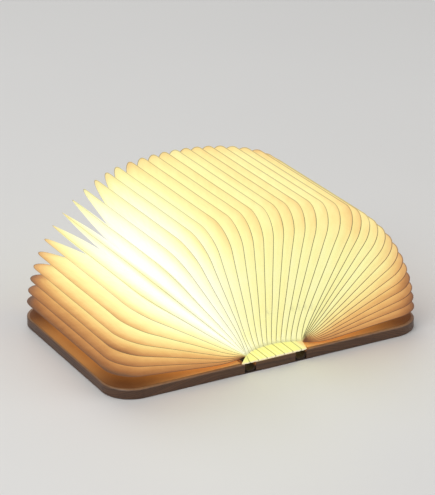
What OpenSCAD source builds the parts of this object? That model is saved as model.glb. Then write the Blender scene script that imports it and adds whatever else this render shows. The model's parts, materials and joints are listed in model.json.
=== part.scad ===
// Folding book lamp, opened flat with its pages fanned over the spine.
// X runs across the open book, Y along the spine, Z up from the table.
// The origin is the middle of the footprint, and all sizes are in millimetres.

/* [Covers] */
// Length of the covers and of the spine, along the spine
cover_length = 122; // [100:1:150]
// Width of one cover board, from the hinge groove to the fore-edge
cover_width = 75.6; // [60:0.2:100]
// Thickness of the cover boards
cover_thickness = 5.6; // [4.6:0.1:8]
// Radius of the two outer corners of a cover
cover_corner_radius = 17; // [6:0.5:24]
// Chamfer that breaks the long edges of the boards
edge_break = 0.5; // [0.2:0.1:0.9]
// Thickness of the end paper glued inside each cover
end_paper_thickness = 0.2; // [0.1:0.05:0.4]
// Bare margin left between the end paper and the edge of a cover
end_paper_margin = 1; // [0.8:0.1:8]

/* [Spine and hinges] */
// Width of the spine board, which sets the thickness of the closed book
spine_width = 24; // [22:0.5:32]
// Thickness of the spine board
spine_thickness = 5.6; // [4.8:0.1:6]
// Gap between the spine board and a cover, bridged by the hinge cloth
hinge_gap = 6.8; // [6.8:0.1:9]
// Thickness of the hinge cloth
cloth_thickness = 0.5; // [0.3:0.1:0.8]
// Width of the hinge cloth glued under each board
cloth_overlap = 4; // [2.5:0.5:5]
// Thickness of the card that lines the spine board
card_thickness = 0.35; // [0.2:0.05:0.5]
// Height of the strips on which the pages are glued
root_strip_height = 0.65; // [0.3:0.05:0.7]

/* [Pages] */
// Number of leaves, counted by their outer folds
leaf_count = 37; // [25:2:45]
// How far a leaf stays inside each end of the covers
page_margin = 1.2; // [0.6:0.1:4]
// Reach of a leaf from its root to its fore-edge
page_reach = 78.8; // [60:0.1:100]
// Radius of the rounded corners of a leaf
page_corner_radius = 14.5; // [6:0.5:22]
// Depth of a pleat, from its outer fold to its inner fold
pleat_depth = 24; // [12:0.5:28]
// Radius of the inner fold's corners
inner_corner_radius = 4; // [2:0.5:8]
// Thickness of the folded edge, measured inwards along the leaf
fold_wall = 2; // [1.2:0.1:3]
// Angle of the first leaf above the left cover
first_leaf_angle = 5.5; // [2:0.5:10]
// Angle of the last leaf above the right cover
last_leaf_angle = 4.5; // [2:0.5:10]
// Distance from the middle to the point about which each end of the fan turns
fan_half_width = 13.4; // [12.5:0.1:18]
// Radius of the rounded root that the leaves stand on
root_radius = 2; // [1.8:0.1:2.6]
// Height of the centre of that root above the cover boards
root_lift = 0.3; // [0.25:0.05:0.6]
// Number of leaves whose roots spread over the top of the spine
spread_leaves = 12; // [6:1:18]
// Leaf whose foot stands on the middle of the spine, counted from the left cover
upright_leaf = 15; // [12:1:24]
// Distance between the feet of neighbouring leaves
foot_pitch = 2.6; // [2:0.05:3]
// Distance from the middle of the spine to the left end of the feet
foot_left = 13.1; // [12.5:0.1:20]
// Distance from the middle of the spine to the right end of the feet
foot_right = 20.7; // [12.5:0.1:22]
// Length of the flat foot of the pages at each end of the spine
foot_length = 11.8; // [5:0.2:14]
// Distance along a leaf over which its ends flare out from the foot
flare_reach = 22; // [12:1:34]
// Depth of the pleats on the foot
foot_depth = 0.6; // [0.3:0.1:0.8]
// Depth of the paper under the foot's folds
foot_wall = 1.3; // [1.1:0.1:1.4]

/* [Light] */
// Width of the light housing
housing_width = 12; // [11:0.2:12]
// Distance from each end of the spine to the light housing
housing_end_room = 25; // [25:0.5:30]
// Wall of the light housing
housing_wall = 0.8; // [0.7:0.1:1.2]
// Height of the housing's rim above the table
housing_top = 9; // [8.6:0.1:10]
// Wood left under the housing
channel_floor = 1.6; // [1.2:0.1:2]
// Wall of the diffuser
diffuser_wall = 0.8; // [0.6:0.1:1.2]
// Thickness of the board that carries the LEDs
led_board_thickness = 1; // [0.8:0.1:1.2]
// Number of LEDs
led_count = 9; // [5:1:12]
// Distance from each end of the light housing to the middle of the first LED
led_end_room = 7.2; // [4:0.1:12]
// Length of one LED
led_length = 3.5; // [2.8:0.1:4]
// Width of one LED
led_width = 2.8; // [2:0.1:3.5]
// Height of one LED
led_height = 0.7; // [0.5:0.1:1]
// Width of the battery cell
cell_width = 9.6; // [8:0.1:9.8]
// Length of the battery cell
cell_length = 44; // [30:1:50]
// Thickness of the battery cell
cell_thickness = 3.6; // [3:0.1:4]
// Thickness of the adhesive pad under the cell
pad_thickness = 0.4; // [0.2:0.1:0.6]

/* [Charging] */
// Width of the control board
board_width = 11; // [10:0.2:12]
// Length of the control board
board_length = 14.6; // [13:0.2:14.6]
// Wood left between the control board and the head end of the spine
end_wall = 4; // [3.4:0.1:4]
// Thickness of the control board
board_thickness = 0.8; // [0.6:0.1:1]
// Width of the charging socket
socket_width = 7.5; // [7.4:0.1:8]
// Height of the charging socket
socket_height = 2.6; // [2.4:0.1:2.7]
// Depth of the charging socket
socket_depth = 5.6; // [5:0.1:6]
// Wall of the charging socket's shell
socket_wall = 0.3; // [0.2:0.05:0.4]

/* [Magnets and screws] */
// Radius of the closing magnets
magnet_radius = 4; // [3:0.25:5]
// Thickness of the closing magnets
magnet_thickness = 2; // [1.5:0.1:3]
// Distance of the closing magnets from the fore-edge
magnet_edge_distance = 8; // [7:0.5:14]
// Distance between the closing magnets of one cover
magnet_spacing = 76; // [40:1:84]
// Radius of the small magnet that works the sensor
trigger_radius = 2.5; // [2:0.1:3]
// Thickness of the small magnet that works the sensor
trigger_thickness = 2; // [1.5:0.1:3]
// Radius of the housing screws
screw_radius = 0.95; // [0.8:0.05:1.1]
// Radius of the screw heads
screw_head_radius = 1.8; // [1.6:0.1:2]
// Length of the housing screws under the head
screw_length = 3; // [2.4:0.1:3]
// Thickness of the lugs that the screws hold
lug_thickness = 1.2; // [1:0.1:1.4]
// Length of the lugs that the screws hold
lug_length = 6; // [5:0.2:6.4]
// Radius of the insulated wires
wire_radius = 0.5; // [0.4:0.05:0.6]

/* [Hidden] */
$fn = 48;
// Clearance between pieces that slip into each other
slip = 0.1;
// Radial clearance of a screw in its hole
screw_fit = 0.03;
// Slight overlap that makes a cut run through a face
through = 0.5;
// Gap that keeps the cloth just clear of the table
table_gap = 0.05;
// How unevenly the leaves settle in the fan, in degrees, one value a wave
settling = [-5, -4.3, -0.6, 2.5, 0.8, 0.4];
// Points along the flare, round a corner of a leaf
flare_steps = 4;
corner_steps = 5;

half_length = cover_length / 2;
page_length = cover_length - 2 * page_margin;
cover_inner_x = spine_width / 2 + hinge_gap;
cover_outer_x = cover_inner_x + cover_width;
paper_top = cover_thickness + end_paper_thickness;
card_top = spine_thickness + card_thickness;
strip_top = card_top + root_strip_height;
cloth_rebate = cloth_thickness + slip;

channel_half = housing_width / 2 + 2 * slip;
housing_length = cover_length - 2 * housing_end_room;
housing_floor = channel_floor + slip;
housing_half_length = housing_length / 2;
lug_end = housing_half_length + lug_length;
lug_bottom = spine_thickness - lug_thickness;
led_board_bottom = housing_top - led_board_thickness;
ledge_height = 0.8;
ledge_width = 0.7;
cavity_half = housing_width / 2 - housing_wall;
led_pitch = (housing_length - 2 * led_end_room) / (led_count - 1);
board_start = half_length - end_wall - slip - board_length;
board_bottom = channel_floor + slip;
board_top = board_bottom + board_thickness;
wire_z = max(board_top, housing_floor + housing_wall) + wire_radius + slip / 2;
// The leads run beside the head lug: the LED lead first, the battery lead outside it
wire_x = 2.8;
wire_gap = 1.4;
wire_bend = 1.2;
wire_on_board = 3;
screw_x = 3.2;
screw_sink = 0.6;
screw_head_height = screw_sink - slip / 2;

cell_bottom = housing_floor + housing_wall + pad_thickness;
cell_room = 1;
cell_start = -housing_half_length + housing_wall + cell_room;
tab_length = 1.4;
tab_height = 0.8;
cell_end = cell_start + cell_length + tab_length;
socket_front = half_length - slip;
socket_taper = 0.8;
// Sizes of the small parts on the control board, and where each one starts on it
chip_size = [3, 4, 1];
chip_place = [-4.4, 1.2];
sensor_size = [1.5, 2.8, 1];
sensor_x = 3;
light_size = [0.8, 1.6, 0.6];
light_inset = 0.4;
// The pit in an LED that its light comes out of
pit_radius = 0.32 * led_width;
pit_flare = 1.25;
pit_depth = 0.4 * led_height;

root_z = max(cover_thickness + root_lift, strip_top + foot_wall - root_radius + slip);
middle_leaf = (leaf_count - 1) / 2;
foot_inset = 0.2;
foot_end = half_length - foot_inset;
foot_start = foot_end - foot_length;

// A box given by its two opposite corners.
module block(low, high) {
    translate(low) cube([high[0] - low[0], high[1] - low[1], high[2] - low[2]]);
}

// Puts the same piece at both ends of the spine.
module both_ends() {
    children();
    mirror([0, 1, 0]) children();
}

// Outline of a board whose two corners at the low-X side are rounded.
module board_outline(width, length, radius) {
    translate([radius, -length / 2]) square([width - radius, length]);
    translate([0, -length / 2 + radius]) square([width, length - 2 * radius]);
    for (side = [-1, 1])
        translate([radius, side * (length / 2 - radius)]) circle(r = radius);
}

// Cuts a chamfer off the upper or lower edge of such a board, along its rim.
module rim_break(width, length, radius, level, up) {
    tip = edge_break * up;
    far = level + through * up;
    profile = [[radius - edge_break, level], [radius + through, level - tip - through * up],
        [radius + through, far], [radius - edge_break, far]];
    for (side = [-1, 1]) {
        translate([radius, side * (length / 2 - radius), 0]) intersection() {
            rotate_extrude() polygon(profile);
            translate([-radius - through, side < 0 ? -radius - through : 0, -through])
                cube([radius + through, radius + through, cover_thickness + 2 * through]);
        }
        translate([radius, side * (length / 2 - radius), 0]) rotate([90, 0, 90])
            linear_extrude(width - radius) mirror([side < 0 ? 1 : 0, 0]) polygon(profile);
    }
    translate([radius, length / 2 - radius, 0]) rotate([90, 0, 0])
        linear_extrude(length - 2 * radius) mirror([1, 0]) polygon(profile);
}

// Wooden cover board, lying flat with its fore-edge to the left.
module cover_board(trigger) {
    difference() {
        translate([-cover_outer_x, 0, 0]) difference() {
            linear_extrude(cover_thickness)
                board_outline(cover_width, cover_length, cover_corner_radius);
            rim_break(cover_width, cover_length, cover_corner_radius, cover_thickness, 1);
            rim_break(cover_width, cover_length, cover_corner_radius, 0, -1);
        }
        block([-cover_inner_x - cloth_overlap - slip, -half_length - through, -through],
            [-cover_inner_x + through, half_length + through, cloth_rebate]);
        magnet_places() cylinder(r = magnet_radius + slip, h = magnet_thickness + through);
        if (trigger)
            trigger_place() cylinder(r = trigger_radius + slip, h = trigger_thickness + through);
    }
}

// The places of the closing magnets in a cover, on the floors of their pockets.
module magnet_places() {
    for (side = [-1, 1])
        translate([-cover_outer_x + magnet_edge_distance, side * magnet_spacing / 2,
            cover_thickness - magnet_thickness]) children();
}

// The place of the small magnet beside the sensor.
module trigger_place() {
    translate([-cover_inner_x - cloth_overlap, board_start + board_length / 2,
        cover_thickness - trigger_thickness]) children();
}

module end_paper() {
    width = cover_width - end_paper_margin - edge_break;
    length = page_length - 2 * end_paper_margin;
    translate([-cover_outer_x + end_paper_margin, 0, cover_thickness])
        linear_extrude(end_paper_thickness)
            board_outline(width, length, cover_corner_radius - end_paper_margin);
}

module magnets() {
    magnet_places() cylinder(r = magnet_radius, h = magnet_thickness);
}

module hinge_cloth() {
    block([-cover_inner_x - cloth_overlap, -foot_end, table_gap],
        [-spine_width / 2 + cloth_overlap, foot_end, cloth_thickness]);
}

module left_cover_board() { color("#4a2c1a") cover_board(false); }
module right_cover_board() { color("#4a2c1a") mirror([1, 0, 0]) cover_board(true); }
module left_end_paper() { color("#d9cbb0") end_paper(); }
module right_end_paper() { color("#d9cbb0") mirror([1, 0, 0]) end_paper(); }
module left_magnets() { color("silver") magnets(); }
module right_magnets() { color("silver") mirror([1, 0, 0]) magnets(); }
module left_hinge_cloth() { color("#3a2418") hinge_cloth(); }
module right_hinge_cloth() { color("#3a2418") mirror([1, 0, 0]) hinge_cloth(); }
module trigger_magnet() {
    color("silver") mirror([1, 0, 0]) trigger_place()
        cylinder(r = trigger_radius, h = trigger_thickness);
}

// Routed wooden bar that carries the light, the battery and the charging socket.
module spine_board() {
    color("#4a2c1a") difference() {
        block([-spine_width / 2, -half_length, 0], [spine_width / 2, half_length, spine_thickness]);
        block([-channel_half, -housing_half_length - slip, channel_floor],
            [channel_half, housing_half_length + slip, spine_thickness + through]);
        block([-channel_half, lug_end + slip, channel_floor],
            [channel_half, board_start + board_length + slip, spine_thickness + through]);
        lug_rebates();
        block([wire_x - wire_gap, housing_half_length, channel_floor],
            [channel_half, board_start + slip, spine_thickness + through]);
        block([-socket_width / 2 - slip, half_length - end_wall - through, board_top - slip],
            [socket_width / 2 + slip, half_length + through, spine_thickness + through]);
        for (side = [-1, 1])
            block([side < 0 ? -spine_width / 2 - through : spine_width / 2 - cloth_overlap - slip,
                -half_length - through, -through],
                [side < 0 ? -spine_width / 2 + cloth_overlap + slip : spine_width / 2 + through,
                half_length + through, cloth_rebate]);
        screw_places() translate([0, 0, -screw_length])
            cylinder(r = screw_radius + screw_fit, h = screw_length + through);
    }
}

module lug_rebates() {
    block([-channel_half, -lug_end - slip, lug_bottom],
        [channel_half, -housing_half_length, spine_thickness + through]);
    block([-channel_half, housing_half_length, lug_bottom],
        [wire_x - wire_gap + slip, lug_end + 2 * slip, spine_thickness + through]);
}

// The screws stand at the top face of the lugs.
module screw_places() {
    lug_middle = housing_half_length + lug_length / 2;
    for (place = [[-screw_x, -lug_middle], [screw_x, -lug_middle], [-screw_x, lug_middle]])
        translate([place[0], place[1], spine_thickness - screw_sink]) children();
}

module housing_screws() {
    color("gray") screw_places() difference() {
        union() {
            translate([0, 0, -screw_length]) cylinder(r = screw_radius, h = screw_length);
            cylinder(r1 = screw_radius, r2 = screw_head_radius, h = screw_head_height);
        }
        for (turn = [0, 90]) rotate([0, 0, turn])
            translate([-screw_radius, -slip, screw_sink / 2])
                cube([2 * screw_radius, 2 * slip, screw_sink]);
    }
}

module binding_card() {
    color("#b9a07a") difference() {
        block([-spine_width / 2 + edge_break, -foot_end, spine_thickness],
            [spine_width / 2 - edge_break, foot_end, card_top]);
        block([-channel_half, -lug_end - slip, spine_thickness - through],
            [channel_half, lug_end + 2 * slip, card_top + through]);
    }
}

module page_root_strips() {
    color("#e8dcc0") both_ends()
        block([-spine_width / 2 + edge_break, foot_start, card_top],
            [spine_width / 2 - edge_break, foot_end, strip_top]);
}

// Open tray with a screw lug at each end and a ledge for the LED board.
module light_housing() {
    half = housing_width / 2;
    color("white") difference() {
        union() {
            block([-half, -housing_half_length, housing_floor],
                [half, housing_half_length, housing_top]);
            block([-half, -lug_end, lug_bottom + slip / 2],
                [half, -housing_half_length + through, spine_thickness]);
            block([-half, housing_half_length - through, lug_bottom + slip / 2],
                [wire_x - wire_gap, lug_end, spine_thickness]);
        }
        difference() {
            block([-cavity_half, -housing_half_length + housing_wall, housing_floor + housing_wall],
                [cavity_half, housing_half_length - housing_wall, housing_top + through]);
            for (side = [-1, 1])
                block([side < 0 ? -cavity_half - through : cavity_half - ledge_width,
                    -housing_half_length, led_board_bottom - ledge_height],
                    [side < 0 ? -cavity_half + ledge_width : cavity_half + through,
                    housing_half_length, led_board_bottom]);
        }
        block([wire_x - wire_radius - slip, housing_half_length - housing_wall - through,
            housing_floor + housing_wall],
            [cavity_half, housing_half_length + through, wire_z + 2 * wire_radius]);
        screw_places() {
            translate([0, 0, -lug_thickness])
                cylinder(r = screw_radius + screw_fit, h = lug_thickness + through);
            cylinder(r1 = screw_radius + slip, r2 = screw_head_radius + slip, h = screw_head_height);
            translate([0, 0, screw_head_height]) cylinder(r = screw_head_radius + slip, h = through);
        }
    }
}

// Opal half-round cover that clips over the LED board.
module light_diffuser() {
    outer = housing_width / 2;
    inner = outer - diffuser_wall;
    color("ivory") translate([0, housing_half_length, housing_top]) rotate([90, 0, 0]) {
        linear_extrude(housing_length) intersection() {
            difference() {
                circle(r = outer, $fn = 64);
                circle(r = inner, $fn = 64);
            }
            translate([-outer, 0]) square([2 * outer, outer]);
        }
        for (place = [0, housing_length - diffuser_wall])
            translate([0, 0, place]) linear_extrude(diffuser_wall) intersection() {
                circle(r = inner + slip / 2, $fn = 64);
                translate([-outer, 0]) square([2 * outer, outer]);
            }
    }
}

module led_board() {
    color("white") block([-cavity_half + slip, -housing_half_length + housing_wall + slip,
        led_board_bottom], [cavity_half - slip, housing_half_length - housing_wall - slip,
        housing_top - slip / 2]);
}

module led_chips() {
    color("gold") for (i = [0 : led_count - 1])
        translate([0, (i - (led_count - 1) / 2) * led_pitch, housing_top - slip / 2]) difference() {
            translate([-led_width / 2, -led_length / 2, 0]) cube([led_width, led_length, led_height]);
            translate([0, 0, led_height - pit_depth])
                cylinder(r1 = pit_radius, r2 = pit_radius * pit_flare, h = led_height);
        }
}

// Pouch cell with rounded long edges and a folded tab strip at its head end.
module battery_cell() {
    side = cell_thickness / 2;
    color("lightgray") {
        translate([0, cell_start + cell_length, cell_bottom + side]) rotate([90, 0, 0])
            linear_extrude(cell_length) {
                translate([-cell_width / 2 + side, -side])
                    square([cell_width - cell_thickness, cell_thickness]);
                for (place = [-1, 1]) translate([place * (cell_width / 2 - side), 0]) circle(r = side);
            }
        block([-cell_width / 2 + slip, cell_end - tab_length - slip, cell_bottom],
            [cell_width / 2 - slip, cell_end, cell_bottom + tab_height]);
    }
}

module battery_pad() {
    color("dimgray") block([-cell_width / 2 + cell_thickness / 2, cell_start,
        housing_floor + housing_wall],
        [cell_width / 2 - cell_thickness / 2, cell_start + cell_length, cell_bottom]);
}

module control_board() {
    color("darkgreen") block([-board_width / 2, board_start, board_bottom],
        [board_width / 2, board_start + board_length, board_top]);
}

module charge_chip() {
    color("black") translate([chip_place[0], board_start + chip_place[1], board_top])
        cube(chip_size);
}

module hall_sensor() {
    color("black") translate([sensor_x, board_start + board_length / 2, board_top])
        cube(sensor_size);
}

module charge_light() {
    color("red") translate([-board_width / 2 + light_inset,
        board_start + board_length - light_inset - light_size[1], board_top]) cube(light_size);
}

// Sheet-metal shell of the charging socket, open at the head end of the spine.
module charging_socket() {
    half = socket_width / 2;
    outer = [[-half, socket_height], [half, socket_height], [half, socket_taper],
        [half - socket_taper, 0], [-half + socket_taper, 0], [-half, socket_taper]];
    color("silver") translate([0, socket_front, board_top]) rotate([90, 0, 0]) difference() {
        linear_extrude(socket_depth) polygon(outer);
        translate([0, 0, -through]) linear_extrude(socket_depth + through - socket_wall) polygon([
            for (corner = outer) [corner[0] * (1 - socket_wall / half),
                socket_wall + corner[1] * (1 - 2 * socket_wall / socket_height)]]);
    }
}

module socket_tongue() {
    half = socket_width / 4;
    middle = board_top + socket_height / 2;
    color("black") block([-half, socket_front - socket_depth + socket_wall, middle],
        [half, socket_front - 2 * socket_wall, middle + 2 * socket_wall]);
}

// A straight run of wire along the spine, from one place to another.
module wire_run(x, start, end) {
    translate([x, end, wire_z]) rotate([90, 0, 0])
        cylinder(r = wire_radius, h = end - start, $fn = 24);
}

module battery_leads() {
    color("firebrick") wire_run(wire_x + wire_gap, cell_end, board_start + wire_on_board);
}

// The lead runs into the housing and bends up to the underside of the LED board.
module led_leads() {
    y = housing_half_length - housing_wall - wire_on_board;
    color("black") {
        wire_run(wire_x, y, board_start + wire_on_board);
        translate([wire_x, y, wire_z + wire_bend]) rotate([0, 90, 0]) rotate([0, 0, 180])
            rotate_extrude(angle = -90) translate([wire_bend, 0]) circle(r = wire_radius, $fn = 24);
        translate([wire_x, y - wire_bend, wire_z + wire_bend])
            cylinder(r = wire_radius, h = led_board_bottom - wire_z - wire_bend, $fn = 24);
    }
}

// Angle of a leaf above the table, counted anticlockwise from the right cover. Leaf 0 is the
// lowest on the left, and half numbers are the inner folds between two leaves.
function leaf_angle(leaf) =
    leaf < 0 ? 180 : leaf > leaf_count - 1 ? 0
    : let (s = leaf / (leaf_count - 1))
        180 - first_leaf_angle - s * (180 - first_leaf_angle - last_leaf_angle)
        + wave_sum(s, len(settling) - 1);
function wave_sum(s, n) = n < 0 ? 0 : settling[n] * sin(180 * (n + 1) * s) + wave_sum(s, n - 1);

// Where the root of a leaf turns: the ends of the fan each share a point, and the leaves
// between them are spread along the spine.
function turning_x(leaf) =
    fan_half_width * max(-1, min(1, 2 * (leaf - middle_leaf) / spread_leaves));

// Where the foot of a leaf is glued down. The paper leans from there towards the fan.
function foot_x(leaf) = max(-foot_left, min(foot_right, foot_pitch * (leaf - upright_leaf)));

// A point of the leaf's own plane, q along the leaf from its root and y along the spine.
function on_leaf(leaf, q, y) =
    let (a = leaf_angle(leaf), lean = pow(1 - min(1, max(0, q / flare_reach)), 2))
    [
        turning_x(leaf) * (1 - lean) + foot_x(leaf) * lean + (root_radius + q) * cos(a),
        y,
        root_z + (root_radius + q) * sin(a)
    ];

// Half of the edge of a leaf from the foot to the fore-edge, as [q, distance from the middle].
// inset is how far the edge lies inside the outer fold, and dip the same on the foot.
function half_edge(inset, dip) =
    let (radius = max(page_corner_radius - inset, inner_corner_radius),
        corner_q = page_reach - inset - radius,
        corner_y = page_length / 2 - inset - radius)
    [
        [-dip, foot_end],
        for (i = [0 : flare_steps])
            let (left = pow(1 - i / flare_steps, 2),
                edge_y = page_length / 2 - (page_length / 2 - foot_start) * left)
            [flare_reach * i / flare_steps - dip * left, edge_y - inset + (inset - dip) * left],
        for (i = [0 : corner_steps])
            let (a = 90 * i / corner_steps)
            [corner_q + radius * sin(a), corner_y + radius * cos(a)]
    ];

// The whole edge of a leaf, from the tail foot round to the head foot.
function leaf_edge(leaf, inset, dip) =
    let (half = half_edge(inset, dip), last = len(half) - 1)
    [
        for (i = [0 : last]) on_leaf(leaf, half[i][0], -half[i][1]),
        for (i = [last : -1 : 0]) on_leaf(leaf, half[i][0], half[i][1])
    ];

// Zigzag paper wall between two leaves. Even rows are inner folds and odd rows outer folds.
module bellows(first_row, last_row) {
    rows = last_row - first_row + 1;
    outside = [for (row = [first_row : last_row])
        leaf_edge((row - 1) / 2, row % 2 == 0 ? pleat_depth : 0, row % 2 == 0 ? foot_depth : 0)];
    inside = [for (row = [first_row : last_row])
        leaf_edge((row - 1) / 2, (row % 2 == 0 ? pleat_depth : 0) + fold_wall, foot_wall)];
    n = len(outside[0]);
    points = [for (row = outside) each row, for (row = inside) each row];
    under = rows * n;
    wall = [for (r = [0 : rows - 2]) for (i = [0 : n - 2])
        let (a = r * n + i, b = a + 1, c = a + n + 1, d = a + n)
        each [[a, b, c], [a, c, d], [under + a, under + c, under + b], [under + a, under + d, under + c]]];
    ends = [for (i = [0 : n - 2])
        let (a = i, b = i + 1, c = (rows - 1) * n + i, d = c + 1)
        each [[a, under + a, b], [b, under + a, under + b], [c, d, under + c], [d, under + d, under + c]]];
    feet = [for (r = [0 : rows - 2])
        let (a = r * n, b = a + n, c = a + n - 1, d = b + n - 1)
        each [[a, b, under + a], [b, under + b, under + a], [c, under + c, d], [d, under + c, under + d]]];
    polyhedron(points, concat(wall, ends, feet), convexity = 20);
}

module left_page_bellows() { color("#f5e6b8") bellows(0, leaf_count); }
module right_page_bellows() { color("#f5e6b8") bellows(leaf_count, 2 * leaf_count); }

spine_board();
binding_card();
page_root_strips();
light_housing();
light_diffuser();
led_board();
led_chips();
battery_cell();
battery_pad();
control_board();
charge_chip();
hall_sensor();
charge_light();
charging_socket();
socket_tongue();
battery_leads();
led_leads();
housing_screws();
left_page_bellows();
right_page_bellows();
left_hinge_cloth();
right_hinge_cloth();
left_cover_board();
left_end_paper();
left_magnets();
right_cover_board();
right_end_paper();
right_magnets();
trigger_magnet();
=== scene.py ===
"""Looks of the folding book lamp: pleated pages lit from inside, walnut covers, cloth hinges."""
import json
import math

import bpy
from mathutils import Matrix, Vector


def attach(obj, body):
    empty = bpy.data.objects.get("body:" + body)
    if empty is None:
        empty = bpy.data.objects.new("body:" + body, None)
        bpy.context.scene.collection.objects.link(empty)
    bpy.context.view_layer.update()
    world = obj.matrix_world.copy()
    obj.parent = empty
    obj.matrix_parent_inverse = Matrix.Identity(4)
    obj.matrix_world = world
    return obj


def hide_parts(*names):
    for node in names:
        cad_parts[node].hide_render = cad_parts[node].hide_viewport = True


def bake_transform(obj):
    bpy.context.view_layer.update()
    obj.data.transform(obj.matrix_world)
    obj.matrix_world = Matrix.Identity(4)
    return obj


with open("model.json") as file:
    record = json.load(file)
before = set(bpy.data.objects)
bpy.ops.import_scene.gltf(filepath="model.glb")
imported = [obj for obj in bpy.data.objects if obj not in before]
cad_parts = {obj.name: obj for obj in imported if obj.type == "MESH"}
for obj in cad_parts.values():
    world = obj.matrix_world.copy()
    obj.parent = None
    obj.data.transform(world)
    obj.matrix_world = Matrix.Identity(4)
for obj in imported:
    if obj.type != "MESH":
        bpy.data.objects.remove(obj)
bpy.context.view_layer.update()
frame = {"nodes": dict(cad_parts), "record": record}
nodes = frame["nodes"]

MM = 0.001

# Covers, spine and hinge cloths, as in the CAD
COVER_THICKNESS = 5.6 * MM
SPINE_HALF_WIDTH = 12 * MM
HINGE_GAP = 6.8 * MM
CLOTH_OVERLAP = 4 * MM
CLOTH_BOTTOM, CLOTH_TOP = 0.05 * MM, 0.5 * MM
COVER_INNER_X = SPINE_HALF_WIDTH + HINGE_GAP
END_PAPER_TOP = 5.8 * MM

# The paper gutter that lines the gap between spine and cover
LINING_ON_SPINE, LINING_ON_COVER = 0.2 * MM, 1.6 * MM
LINING_WALL = 0.12 * MM
LINING_DEPTH = 4.6 * MM
LINING_CLEARANCE = 0.1 * MM

# How finely the strips over the gap are divided, across it and along the spine
CLOTH_STEPS, LINING_STEPS = 36, 40
STEPS_ALONG_SPINE = 60

# Pages, as in the CAD, counted from the left cover
LEAF_COUNT = 37
LAST_LEAF = LEAF_COUNT - 1
MIDDLE_LEAF = LAST_LEAF / 2
PAGE_LENGTH = 119.6 * MM
PAGE_REACH = 78.8 * MM
PAGE_CORNER = 14.5 * MM
PLEAT_DEPTH = 24 * MM
INNER_CORNER = 4 * MM
FIRST_LEAF_ANGLE, LAST_LEAF_ANGLE = 5.5, 4.5
FAN_HALF_WIDTH = 13.4 * MM
ROOT_RADIUS = 2 * MM
ROOT_HEIGHT = 6 * MM
SPREAD_LEAVES = 12
FLARE_REACH = 22 * MM

# Waves of the fan, in degrees, by which the settled leaves stand off an even spread
SETTLING = (-5, -4.3, -0.6, 2.5, 0.8, 0.4)

# The foot, as in the CAD: the leaf that stands on the spine's middle line, the pitch of the folds,
# where they end across the spine, and how far from the middle of the spine's length they start.
# It is glued down to within a millimetre of the spine's edges.
UPRIGHT_LEAF = 15
FOOT_PITCH = 2.6 * MM
FOOT_LEFT, FOOT_RIGHT = -13.1 * MM, 20.7 * MM
FOOT_END = 60.85 * MM
FOOT_START_NEAREST = 47.6 * MM
FOOT_START_CURVE = 18 / 1000 / MM
FOOT_MIDDLE = 4.5 * MM
FRONT_LEFT, FRONT_RIGHT = -20 * MM, 18.4 * MM
FOOT_RADIUS = 0.75 * MM
FOOT_DEPTH = 0.22 * MM
LIP_HEIGHT = 0.95 * MM
FOOT_GLUED_X = SPINE_HALF_WIDTH - 1 * MM

# Paper
FOLD_WALL = 1.6 * MM
FOOT_WALL = 0.15 * MM
FACE_BULGE = 0.45 * MM
FACE_RIPPLE = 0.5 * MM
RIPPLES_PER_METRE = (45.0, 28.0, 45.0)
RIPPLE_SEED_STEP = 0.37
STEPS_ALONG = 100
STEPS_ACROSS = 12

# Where the folds stand between the closed covers
CLOSED_HALF_GAP = 5.8 * MM
CLOSING_ANGLE = math.radians(90)
LEAST_FLARE_TURN = 0.02


# ---------------------------------------------------------------- wiring of node trees

class Num:
    """A number that flows through a node tree, so that a formula can be written as one."""

    def __init__(self, tree, socket):
        self.tree, self.socket = tree, socket

    def _math(self, operation, *values, clamp=False):
        made = self.tree.nodes.new("ShaderNodeMath")
        made.operation, made.use_clamp = operation, clamp
        for socket, value in zip(made.inputs, values):
            feed(self.tree, socket, value)
        return Num(self.tree, made.outputs[0])

    def __add__(self, other): return self._math("ADD", self, other)
    def __radd__(self, other): return self._math("ADD", other, self)
    def __sub__(self, other): return self._math("SUBTRACT", self, other)
    def __rsub__(self, other): return self._math("SUBTRACT", other, self)
    def __mul__(self, other): return self._math("MULTIPLY", self, other)
    def __truediv__(self, other): return self._math("DIVIDE", self, other)
    def __rtruediv__(self, other): return self._math("DIVIDE", other, self)
    def __pow__(self, other): return self._math("POWER", self, other)
    def __neg__(self): return self * -1
    def __abs__(self): return self._math("ABSOLUTE", self)
    def above(self, other): return self._math("GREATER_THAN", self, other)
    def below(self, other): return self._math("LESS_THAN", self, other)
    def at_least(self, other): return self._math("MAXIMUM", self, other)
    def sine(self): return self._math("SINE", self)
    def cosine(self): return self._math("COSINE", self)
    def root(self): return self._math("SQRT", self)
    def sign(self): return self._math("SIGN", self)
    def wrapped(self, length): return self._math("FLOORED_MODULO", self, length)

    def held(self):
        """The number itself, but 0 below 0 and 1 above 1."""
        return self._math("ADD", self, 0.0, clamp=True)

    def eased(self, low, high):
        """0 below low, 1 above high and smooth between them."""
        made = self.tree.nodes.new("ShaderNodeMapRange")
        made.interpolation_type = "SMOOTHSTEP"
        for name, value in (("Value", self), ("From Min", low), ("From Max", high)):
            feed(self.tree, made.inputs[name], value)
        return Num(self.tree, made.outputs[0])


def feed(tree, socket, value):
    """Links a value into a socket, or sets it there if it is a plain one."""
    if isinstance(value, Num):
        value = value.socket
    if isinstance(value, bpy.types.NodeSocket):
        tree.links.new(value, socket)
    else:
        socket.default_value = value


def add(tree, kind, values=None, **settings):
    """A new node with its settings, and with values or links fed to its sockets."""
    made = tree.nodes.new(kind)
    for name, value in settings.items():
        setattr(made, name, value)
    for name, value in (values or {}).items():
        feed(tree, made.inputs[name], value)
    return made


def vector(tree, x, y, z):
    return add(tree, "ShaderNodeCombineXYZ", {"X": x, "Y": y, "Z": z}).outputs[0]


def parts(tree, socket):
    """The x, y and z of a vector."""
    made = add(tree, "ShaderNodeSeparateXYZ", {0: socket})
    return [Num(tree, made.outputs[i]) for i in range(3)]


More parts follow.
